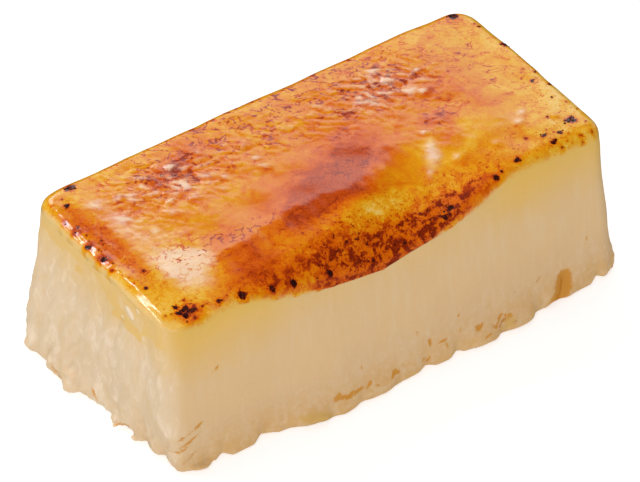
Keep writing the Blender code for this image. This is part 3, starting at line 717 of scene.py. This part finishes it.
# Where drops of sugar burnt black: along, across, up and the size, in mm.
BURNT = (
    (-41.5, -16.0, 33.6, 0.45), (-40.3, -17.1, 33.5, 0.60), (-39.5, -18.2, 33.5, 0.60),
    (-41.0, -18.6, 33.4, 0.50), (-41.9, -17.4, 33.5, 0.44), (-39.9, -19.6, 33.2, 0.3),
    (-38.6, -17.3, 33.5, 0.3), (-41.6, -19.6, 33.2, 0.25), (-42.9, -16.9, 33.6, 0.25),
    (-44.0, -16.7, 33.6, 0.35), (-39.5, -15.4, 33.7, 0.3), (-34.6, -18.7, 33.3, 0.5),
    (-30.3, -19.4, 32.6, 0.8), (-24.4, -20.0, 31.5, 0.5), (-20.0, -20.1, 30.5, 0.55),
    (-15.4, -20.4, 29.2, 0.30), (-43.0, -9.5, 33.7, 0.45), (-41.1, -5.8, 33.7, 0.4),
    (-45.1, -2.2, 33.2, 0.3), (-44.7, 1.0, 33.4, 0.65), (-44.9, 5.3, 33.2, 0.5), (-44.9, 9.4, 33.4, 0.4),
    (-45.0, 12.3, 33.3, 0.3), (-42.5, 15.7, 33.7, 0.45), (-42.2, 17.5, 33.7, 0.35),
    (-39.4, 19.3, 33.6, 1.0), (-22.8, 11.5, 33.6, 0.3), (-19.9, 11.1, 33.5, 0.3), (42.7, 19.2, 33.2, 1.1),
    (46.0, 7.7, 32.7, 0.95), (44.7, 15.4, 33.1, 0.35), (44.9, 14.3, 33.1, 0.4), (44.0, 0.1, 33.1, 0.4),
    (45.3, -1.7, 33.0, 0.4), (43.3, -3.5, 33.0, 0.45), (45.5, -5.8, 32.9, 0.5), (43.4, -9.1, 33.1, 0.35),
    (44.8, -11.4, 33.1, 0.35), (42.5, -15.8, 33.0, 1.0), (45.3, -13.9, 32.8, 0.3),
    (44.5, -17.5, 32.9, 0.3), (44.1, -19.8, 32.2, 0.35), (41.6, -19.6, 32.5, 0.3),
    (41.6, -20.5, 31.5, 0.3), (37.3, -20.1, 32.2, 0.3), (36.0, -16.6, 33.2, 0.5),
    (38.9, -17.4, 33.0, 0.55), (36.5, -18.7, 33.0, 0.6), (28.4, -18.8, 32.9, 0.6),
    (23.3, -19.7, 31.9, 0.5), (24.7, -19.3, 32.4, 0.4), (32.9, -15.4, 33.2, 0.35),
    (39.4, -13.0, 33.2, 0.35), (12.3, -19.3, 29.4, 0.38), (13.7, -19.5, 29.7, 0.42),
    (17.2, -19.6, 30.7, 0.36), (15.1, -20.2, 29.8, 0.32), (3.2, -20.1, 27.4, 0.35),
    (22.4, 15.0, 33.5, 0.35), (-23.5, 8.7, 33.6, 0.22), (-15.0, 11.8, 33.5, 0.25),
    (13.8, 13.2, 33.5, 0.25), (32.4, 6.8, 33.4, 0.2), (-21.6, 12.9, 33.6, 0.2), (12.0, -20.0, 29.0, 0.42),
    (12.9, -20.2, 29.2, 0.40), (11.3, -19.6, 29.2, 0.34), (13.2, -18.7, 30.0, 0.30),
    (1.0, -19.4, 28.6, 0.30), (-12.6, -20.3, 28.2, 0.42),
)

# How dark the torch made each place, in patches on a gold ground.
TORCHED = (
    (0, 3, 38, 13, 0, 0.25), (0, -14, 30, 6, 0, 0.08), (0, 19, 36, 2.4, 0, 0.08),
    # the blistered fields
    (-25, 12.0, 10, 5.5, 0, 0.20), (-21.5, 14.2, 7, 2.4, 28, 0.18), (-37.5, 7, 4, 7, 0, 0.12),
    (19, 12.0, 11, 6.5, 0, 0.19), (25, 6, 5, 4, 0, 0.08), (-5, 15, 20, 2.4, 0, 0.06),
    # the dark swath behind the fold, and the red line of the fold
    (-3, -5.2, 13, 5.0, 8, 0.45), (5.5, -1.6, 5, 3.8, -20, 0.18), (-2.5, -7.2, 7.0, 2.4, 6, 0.08),
    (7, 3.5, 3, 4, 0, 0.10), (-26, -6.5, 5.0, 2.6, 0, 0.18), (-8.5, -9.9, 7.5, 1.3, 4, 0.18),
    (0.5, -10.4, 3.4, 1.2, -10, 0.20), (-25, -10.8, 5, 0.6, 4, 0.10), (23.0, -2.3, 3.4, 2.2, -10, 0.36),
    (22, -7.5, 3.0, 2.4, 0, 0.10), (10.5, 0, 2.4, 6, 0, 0.06),
    # the translucent front, orange red at its left and clotted along the edge
    (-25, -15.2, 6.0, 5.6, 0, 0.40), (-11, -13.5, 8, 4.5, 0, 0.22), (6, -13, 12, 5, 0, 0.07),
    (25, -15, 8, 4, 0, 0.06), (-2, -18, 22, 4, 0, 0.06), (-6, -18.9, 14, 2.4, 0, 0.31),
    (13, -18.9, 11, 2.2, 0, 0.28), (-4, -13.9, 13, 1.9, 0, -0.17), (14.8, -19.0, 2.6, 1.8, 0, 0.16),
    (2.5, -20.2, 4.5, 1.6, 12, 0.18), (-11.5, -18.0, 3.2, 1.8, 0, 0.16),
    (-8.3, -18.4, 1.3, 1.2, 0, -0.18), (-25.5, -19.8, 5, 2.2, 0, 0.12), (-19.5, -19.6, 5, 2.6, 0, 0.12),
    (-13, -20.6, 4, 1.8, 0, 0.18), (-8.5, -20.8, 4, 2.0, 0, 0.22), (-2.5, -21.0, 4, 2.0, 0, 0.22),
    (1.5, -19.6, 4, 2.4, 0, 0.26), (9, -19.4, 5, 2.4, 0, 0.16), (6.5, -20.6, 4, 1.8, 0, 0.20),
    (12.0, -19.8, 2.8, 1.8, 0, 0.22), (17.5, -20.0, 3.4, 1.5, 0, 0.20), (22.0, -20.0, 3.0, 1.2, 0, 0.20),
    (2, -14.0, 4.0, 2.0, 0, -0.13), (15.5, -9, 4.5, 4.5, 0, -0.08), (27, -9.5, 4, 4, 0, -0.06),
    (19, -5.5, 3.0, 2.0, 0, -0.06),
    # the left edge, the corners and the right end
    (-41.8, 4.0, 2.2, 8, 4, 0.30), (-42.0, -6.0, 1.8, 4.0, 10, 0.16), (-43.2, 12, 1.6, 6, 6, 0.12),
    (-39.8, -18, 3.4, 2.4, 0, 0.15), (-33, -19, 4, 1.6, 0, 0.16), (-44.6, 9.4, 0.8, 1.0, 0, 0.55),
    (-44.6, 5.2, 0.9, 1.1, 0, 0.6), (-44.5, 1.1, 1.0, 1.5, 20, 0.7), (-44.8, 12.6, 0.6, 0.9, 0, 0.5),
    (-44.9, -2.2, 0.5, 0.6, 0, 0.4), (-40.2, -17.8, 2.4, 1.7, 0, 0.26),
    (-40.5, -20.0, 2.2, 0.7, 10, 0.15), (-46.8, 0, 1.6, 22, 0, -0.20), (-44, -19, 5, 3, 0, -0.06),
    # the lighter patch round (-34.5, -8) is part of the painted glare at the front left corner
    (-34.5, -8, 5, 5.5, 0, -0.12), (33, 6, 5, 10, 0, 0.10), (32, -4, 3.4, 8, 0, 0.12),
    (36.5, -17, 5, 3, 0, 0.06), (-31, -17, 4, 2.6, 0, 0.14), (44, -10, 4, 7, 0, -0.10),
    (48, 0, 4, 22, 0, -0.08), (0, 21.3, 26, 0.35, 0, 0.35), (38, -2, 3, 3, 0, -0.06),
)
# The lip is browner, and each burnt drop has a brown ring. The edges fall back to a lighter brown.
GOLD, LIP_BROWN, EDGE_BROWN = 0.14, 0.16, 0.28
RING_BROWN, RING_MOST = 0.45, 0.42
CHARRED_FROM, CHARRED_MOST = 0.4, 0.75

points, _ = skin_points(caramel)
over, reach, crisp = above_brown_edge(points), skin_reach(points), crisp_edge(points)
x, y, _ = (points / MM).T
puffed, fields = froth(x, y), frothed(x, y, BROWNED_BY_FOLD)
rings, halos, cores = [], [], []
for along, across, _, size in BURNT:
    rings.append((along, across, size * 0.95 + 0.10, size * 0.85 + 0.10, 0, RING_BROWN))
    halos.append((along, across, size * 1.5 + 0.4, size * 1.4 + 0.4, 0, 1.6))
    if size > CHARRED_FROM:
        cores.append((along, across, size * 1.25, size * 1.1, 0, 0.85))
# Each blister gets a painted shadow just in front of it and a painted highlight on its crown.
shadows, blister_glints = [], []
for along, across, long, wide, turn, high in BLISTERS:
    shadows.append((along - 0.3, across - 1.0, long * 0.9, 0.5, turn, 0.12))
    blister_glints.append((along, across, long * 0.9, wide * 0.8, turn, 2.4 * high))
brown = GOLD + patches(x, y, TORCHED) + np.minimum(patches(x, y, rings), RING_MOST)
# The froth is lighter on its puffs and darker in the creases between them.
brown += patches(x, y, shadows) + 0.14 * fields * (0.5 - puffed)
brown += LIP_BROWN * crisp * np.exp(-(((over - 0.9) / 0.6) ** 2))
paling = 0.6 * crisp * ease(-over, -0.20, 0.0) + 0.9 * (1 - crisp) * ease(-over, -1.3, 0.1)
stain(caramel, "torched", brown - np.clip(brown - EDGE_BROWN, 0, 1) * paling)

# How well the caramel covers the custard: it fades out along its soft edges, but not round the burnt drops.
covered = ease(over, -(reach - 0.4) * (1 - crisp) - 0.15 * crisp, 1.8 - 1.55 * crisp)
covered *= 1 - 0.85 * ease(-x, 44.9, 46.4)
round_burnt = np.clip(patches(x, y, halos), 0, 1) * ease(over, -0.9, 0.2)
stain(caramel, "covered", np.maximum(covered, round_burnt))

# The other finishes: how much there is everywhere, and the patches that have more.
FINISHES = {
    "clotted": (0, (
        (-6, -19.0, 16, 4.0, 0, 1.0), (13, -18.5, 12, 3.6, 4, 0.9), (-26, -19.5, 8, 1.8, 0, 0.5),
        (-41, 4, 3, 9, 0, 0.4), (4, -13, 12, 3, 8, 0.25), (-39, -18, 5, 3, 0, 0.6),
        (37, -17, 6, 3.4, 0, 0.5),
    )),
    "speckled": (0, (
        (43, -6, 4, 15, 0, 1.0), (36, -16, 9, 5, 0, 1.0), (-43.5, 4, 3, 15, 0, 1.0),
        (-38, -17, 8, 4, 0, 1.0), (16, -16, 14, 4, 0, 0.85), (-24, 13, 16, 6, 0, 0.5),
        (30, 12, 14, 9, 0, 0.5), (-33, -8, 7, 5, 0, 0.5), (-6, -16, 12, 4, 0, 0.85),
    )),
    "veiny": (0.03, (
        (-24, 12, 13, 7, 0, 0.9), (20, 11, 13, 7, 0, 0.9), (-2, 12, 12, 8, 0, 0.6),
        (0, 19, 36, 3.5, 0, 0.8), (41, 0, 5, 18, 0, 0.5), (24, -2, 6, 4, 0, 0.7), (38, 6, 6, 12, 0, 0.4),
        (-12, -12, 14, 4, 0, 0.3),
    )),
    "crackled": (0, ((-34, -7, 7, 5, 0, 1.0), (4, -4, 8, 3, 0, 0.3), (-22, -7.2, 9, 1.9, -3, 1.0))),
    "glazed": (0.2, (
        (-6, -5, 16, 5, 8, 0.6), (-30, -9, 10, 4, 0, 0.4), (16, -10, 6, 4, 0, 0.5), (-44, 0, 3, 18, 0, 0.7),
    )),
}
# Painted highlights lie in pale patches: painted glare at the front left corner and beside it, over the
# streaks near the front and over the blistered fields, and a painted highlight on each blister and on the
# tops of the froth, with darker creases between its puffs.
GLARE_PATCHES = (
    (-35, -8.5, 3.8, 5.4, 10, 1.2), (-31.5, -8.5, 2.6, 2.4, 0, 0.7), (-37.3, 6, 2.4, 7, 0, 0.4),
    (17.0, -9.5, 2.2, 3.6, -35, 0.5), (33, -9.5, 4, 3, 0, 0.3), (-34, 1, 3, 3, 0, 0.2),
    (-23, 9.5, 9, 4.5, 0, 0.20), (20, 10, 8, 5, 0, 0.20),
)
ALSO_CREASED = ((0, 18.5, 36, 3, 0, 1), (34, 8, 8, 8, 0, 0.7))

for name, (everywhere, places) in FINISHES.items():
    stain(caramel, name, everywhere + patches(x, y, places))
# Painted highlights on the tops of the froth and of the blisters, and painted glare in patches.
froth_glints = 0.45 * fields * ease(puffed, 0.45, 0.95)
stain(caramel, "painted_glare", patches(x, y, GLARE_PATCHES) + patches(x, y, blister_glints) + froth_glints)
creasing = np.clip(fields + 0.5 * patches(x, y, ALSO_CREASED), 0, 1)
stain(caramel, "creased", ease(-puffed, -0.26, -0.06) * creasing)
stain(caramel, "burnt", np.minimum(patches(x, y, cores), CHARRED_MOST))

# The sugar's colours, from pale gold to black. Clouds alone make it no darker than DARKEST_CLOUD, and
# veins, creases and cracks no darker than DARKEST_CRACK.
DARKEST_CLOUD, DARKEST_CRACK = 0.67, 0.78
SUGAR = (
    (0.00, (0.830, 0.530, 0.130)), (0.12, (0.810, 0.430, 0.030)), (0.24, (0.770, 0.320, 0.003)),
    (0.36, (0.730, 0.225, 0.001)), (0.48, (0.700, 0.145, 0.000)), (0.62, (0.580, 0.075, 0.000)),
    (0.76, (0.320, 0.026, 0.001)), (0.92, (0.095, 0.007, 0.002)), (1.00, (0.030, 0.004, 0.003)),
)
# The pale cream of the painted glare and highlights.
GLARE_CREAM = (0.890, 0.630, 0.450, 1)
TORCH_TURN = (0, 0, math.degrees(TORCH_PATH))

torched_sugar, recipe, shader, where = paste("torched_sugar")

# How dark each spot is: clouded, clotted along the front edge, speckled and scorched.
cloudy = mottle(recipe, where, 4.5, detail=7, rough=0.62, warp=1.0)
clots = rise(recipe, mottle(recipe, where, 1.6, detail=7, rough=0.70, warp=0.2), 0.44, 0.56)
specks = mottle(recipe, where, 0.32)
scorched = rise(recipe, mottle(recipe, where, 0.75, detail=3, rough=0.6, warp=0.5), 0.59, 0.65)
clotted = worn(recipe, "clotted")
level = reckon(recipe, "MINIMUM", sway(recipe, worn(recipe, "torched"), cloudy, 0.68), DARKEST_CLOUD)
level = deepen(recipe, level, times(recipe, reckon(recipe, "SUBTRACT", clots, 0.5), clotted), 0.34)
level = sway(recipe, level, specks, reckon(recipe, "MULTIPLY_ADD", clotted, 0.08, 0.28))
spotted = deepen(recipe, level, times(recipe, scorched, worn(recipe, "speckled")), 0.44)

# Dashes and veins that the torch drew out, and darker creases between the puffs of froth.
dashes = mottle(recipe, where, 1.3, detail=5, rough=0.66, stretch=(0.5, 1, 1), turn=TORCH_TURN)
level = deepen(recipe, spotted, times(recipe, rise(recipe, dashes, 0.53, 0.66), worn(recipe, "veiny")), 0.26)
strand = mottle(recipe, where, 2.6, detail=3, rough=0.55, stretch=(0.6, 1, 1), turn=TORCH_TURN, warp=1.0)
strand = reckon(recipe, "ABSOLUTE", reckon(recipe, "SUBTRACT", strand, 0.5))
whole = rise(recipe, mottle(recipe, where, 2.6, detail=4, rough=0.68), 0.46, 0.54)
veins = times(recipe, rise(recipe, strand, 0.045, 0.010), whole)
level = deepen(recipe, level, times(recipe, veins, worn(recipe, "veiny")), 0.50)
frayed = sway(recipe, worn(recipe, "creased"), mottle(recipe, where, 0.5, detail=3, rough=0.6), 0.9)
whole = rise(recipe, mottle(recipe, where, 4.0, detail=5, rough=0.7), 0.43, 0.53)
level = deepen(recipe, level, times(recipe, rise(recipe, frayed, 0.40, 0.75), whole), 0.42)

# A net of fine cracks in the pale glaze.
cells = stir(recipe, "Mapping", {"Vector": where, "Scale": (560, 820, 560)})
wavy = stir(recipe, "TexNoise", {"Vector": where, "Scale": 900, "Detail": 2}).node.outputs["Color"]
bent = stir(recipe, "VectorMath", {0: cells, 1: wavy}, operation="ADD")
net = stir(recipe, "TexVoronoi", {"Vector": bent, "Scale": 1.0}, feature="DISTANCE_TO_EDGE")
whole = rise(recipe, mottle(recipe, where, 2.4, detail=3, rough=0.7), 0.46, 0.56)
cracks = times(recipe, times(recipe, rise(recipe, net, 0.125, 0.03), whole), worn(recipe, "crackled"))
level = deepen(recipe, level, cracks, 0.55)
level = reckon(recipe, "MAXIMUM", reckon(recipe, "MINIMUM", level, DARKEST_CRACK), spotted)

# Black round the burnt drops, and pale cream painted over the sugar as painted glare and painted highlights.
crust = mottle(recipe, where, 0.8, detail=4, rough=0.65, warp=0.6)
char = rise(recipe, sway(recipe, worn(recipe, "burnt"), crust, 1.8), 0.30, 0.75)
level = deepen(recipe, level, char, 0.75)
ramp = recipe.nodes.new("ShaderNodeValToRGB")
recipe.links.new(level, ramp.inputs[0])
while len(ramp.color_ramp.elements) < len(SUGAR):
    ramp.color_ramp.elements.new(0.5)
for stop, (at, tone) in zip(ramp.color_ramp.elements, SUGAR):
    stop.position, stop.color = at, (*tone, 1)
glare_pattern = mottle(recipe, where, 1.5, detail=5, rough=0.62, stretch=(0.6, 1, 1), turn=TORCH_TURN, warp=0.8)
glare_pattern = times(recipe, sway(recipe, 1.0, glare_pattern, 2.6), worn(recipe, "painted_glare"))
glare_share = rise(recipe, glare_pattern, 0.10, 1.0, 0, 0.85)
for dark in (cracks, char):
    glare_share = times(recipe, glare_share, reckon(recipe, "SUBTRACT", 1.0, dark))
colour = tint(recipe, ramp.outputs[0], GLARE_CREAM, glare_share)

# Where the skin thins out, the custard shows through in ragged patches, and it is as dull as the custard.
covered = worn(recipe, "covered")
thinness = times(recipe, times(recipe, covered, reckon(recipe, "SUBTRACT", 1.0, covered)), 3.4)
ragged = sway(recipe, covered, mottle(recipe, where, 0.7, detail=4, rough=0.7), thinness)
colour = tint(recipe, custard_colour(recipe, where), colour, rise(recipe, ragged, 0.15, 0.85))
bare = rise(recipe, covered, 0.30, 0.0)
shine = rise(recipe, worn(recipe, "glazed"), 0.0, 1.0, 0.30, 0.17)
lift = deepen(recipe, times(recipe, specks, 0.5), clots, 0.6)
feed(recipe, shader, {
    "Base Color": colour,
    "Roughness": deepen(recipe, shine, bare, 0.15),
    "IOR": 1.36,
    "Specular IOR Level": 0.25,
    "Subsurface Weight": rise(recipe, bare, 0, 1, 0.15, 0.50),
    "Subsurface Radius": (1.0, 0.5, 0.2),
    "Subsurface Scale": 0.6 * MM,
    "Coat Weight": rise(recipe, bare, 0, 1, 0.65, 0.10),
    "Coat Roughness": 0.17,
    "Coat IOR": 1.5,
    "Normal": crinkle(recipe, lift, 0.5, 0.035 * MM),
})
caramel.data.materials.append(torched_sugar)
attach(caramel, "root")

# --- The burnt sugar ---
# Drops of sugar that the torch burnt to a hard black crust. They stand a little proud of the caramel, one
# by one or in small heaps, and lie thickest along its edges and corners.
DROP_SIZE, DROP_RELIEF, DROP_KEPT, DROP_FLAT = 1.0 * MM, 0.22 * MM, 0.22, 0.55
DROP_STANDS = 0.02
SMALL, LARGE = 0.45, 0.9
GIRTHS = {1: 1.0, 3: 0.62, 9: 0.42}
DROP_SEED = 5
CHAR_BLACK, CHAR_BROWN = (0.020, 0.004, 0.002, 1), (0.160, 0.016, 0.003, 1)

bpy.ops.object.select_all(action="DESELECT")
bpy.ops.mesh.primitive_ico_sphere_add(subdivisions=3, radius=DROP_SIZE / 2)
pattern_drop = bpy.context.object
pattern_drop.name = pattern_drop.data.name = "pattern_drop"
knead(pattern_drop, "DISPLACE", texture=clouds("burnt_lump", 0.35 * MM, 2), texture_coords="LOCAL",
      strength=DROP_RELIEF, mid_level=0.5)
knead(pattern_drop, "DECIMATE", ratio=DROP_KEPT)
bpy.ops.object.mode_set(mode="EDIT")
bpy.ops.mesh.select_all(action="SELECT")
bpy.ops.transform.resize(value=(1, 1, DROP_FLAT), center_override=(0, 0, 0))
bpy.ops.object.mode_set(mode="OBJECT")
bpy.ops.object.shade_smooth()

chance = np.random.default_rng(DROP_SEED)
drops = []
for along, across, high, size in BURNT:
    heap = 1 if size < SMALL else 3 if size < LARGE else 9
    spread = 0 if heap == 1 else size * 0.6
    for _ in range(heap):
        drop_along, drop_across = along + chance.normal(0, spread), across + chance.normal(0, spread * 0.8)
        spot = Vector((drop_along * MM, drop_across * MM, high * MM))
        _, place, normal, _ = caramel.closest_point_on_mesh(spot)
        drop = pattern_drop.copy()
        drop.data = pattern_drop.data.copy()
        bpy.context.scene.collection.objects.link(drop)
        girth = size * GIRTHS[heap] * chance.uniform(0.6, 1.3)
        turn = chance.uniform(0, 6.28)
        turned = Vector((math.cos(turn), math.sin(turn), 0)).to_track_quat("X", "Z")
        drop.location = place + normal * DROP_STANDS * MM
        drop.rotation_mode = "QUATERNION"
        drop.rotation_quaternion = normal.to_track_quat("Z", "Y") @ turned
        drop.scale = (girth * chance.uniform(0.8, 1.5), girth * chance.uniform(0.7, 1.1), girth * 0.6)
        drops.append(drop)
bpy.data.objects.remove(pattern_drop)
bpy.ops.object.select_all(action="DESELECT")
for drop in drops:
    drop.select_set(True)
burnt = bpy.context.view_layer.objects.active = drops[0]
bpy.ops.object.join()
burnt.name = burnt.data.name = "burnt_sugar"
bpy.ops.object.transform_apply(location=True, rotation=True, scale=True)

char_sugar, recipe, shader, where = paste("char_sugar")
glassy = rise(recipe, mottle(recipe, where, 0.5, detail=3), 0.46, 0.62)
feed(recipe, shader, {
    "Base Color": tint(recipe, CHAR_BLACK, CHAR_BROWN, glassy),
    "Roughness": 0.5,
    "Specular IOR Level": 0.05,
    "Coat Weight": 0.15,
    "Coat Roughness": 0.05,
    "Normal": crinkle(recipe, mottle(recipe, where, 0.25, detail=3), 0.7, 0.1 * MM),
})
burnt.data.materials.append(char_sugar)
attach(burnt, "root")
